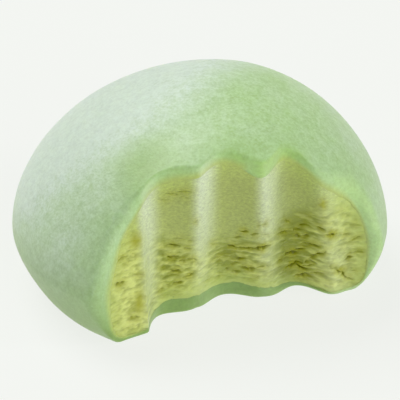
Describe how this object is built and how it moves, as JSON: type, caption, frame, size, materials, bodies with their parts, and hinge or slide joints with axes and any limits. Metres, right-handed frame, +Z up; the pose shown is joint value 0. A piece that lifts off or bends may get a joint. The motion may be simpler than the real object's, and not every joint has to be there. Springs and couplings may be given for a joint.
{
  "type": "bitten mochi ice cream",
  "caption": "Domed ball of ice cream in a soft rice dough wrap, resting on a flat foot, with one bite out of its front showing tooth hollows and torn ice cream.",
  "frame": {"origin": "on the resting face, straight below the middle of the unbitten dome", "axes": "+Z up, the bite opens towards -Y and a little towards +X"},
  "size_m": [0.0499, 0.0458, 0.0283],
  "materials": {
    "rice_dough": "soft, slightly see-through pale green rice dough, dusted with starch on the outside",
    "ice_cream": "pale yellow-green ice cream, smooth where teeth slid over it and flaky below"
  },
  "bodies": {
    "root": {"dough_wrap": "rice_dough", "ice_cream": "ice_cream"}
  },
  "joints": []
}
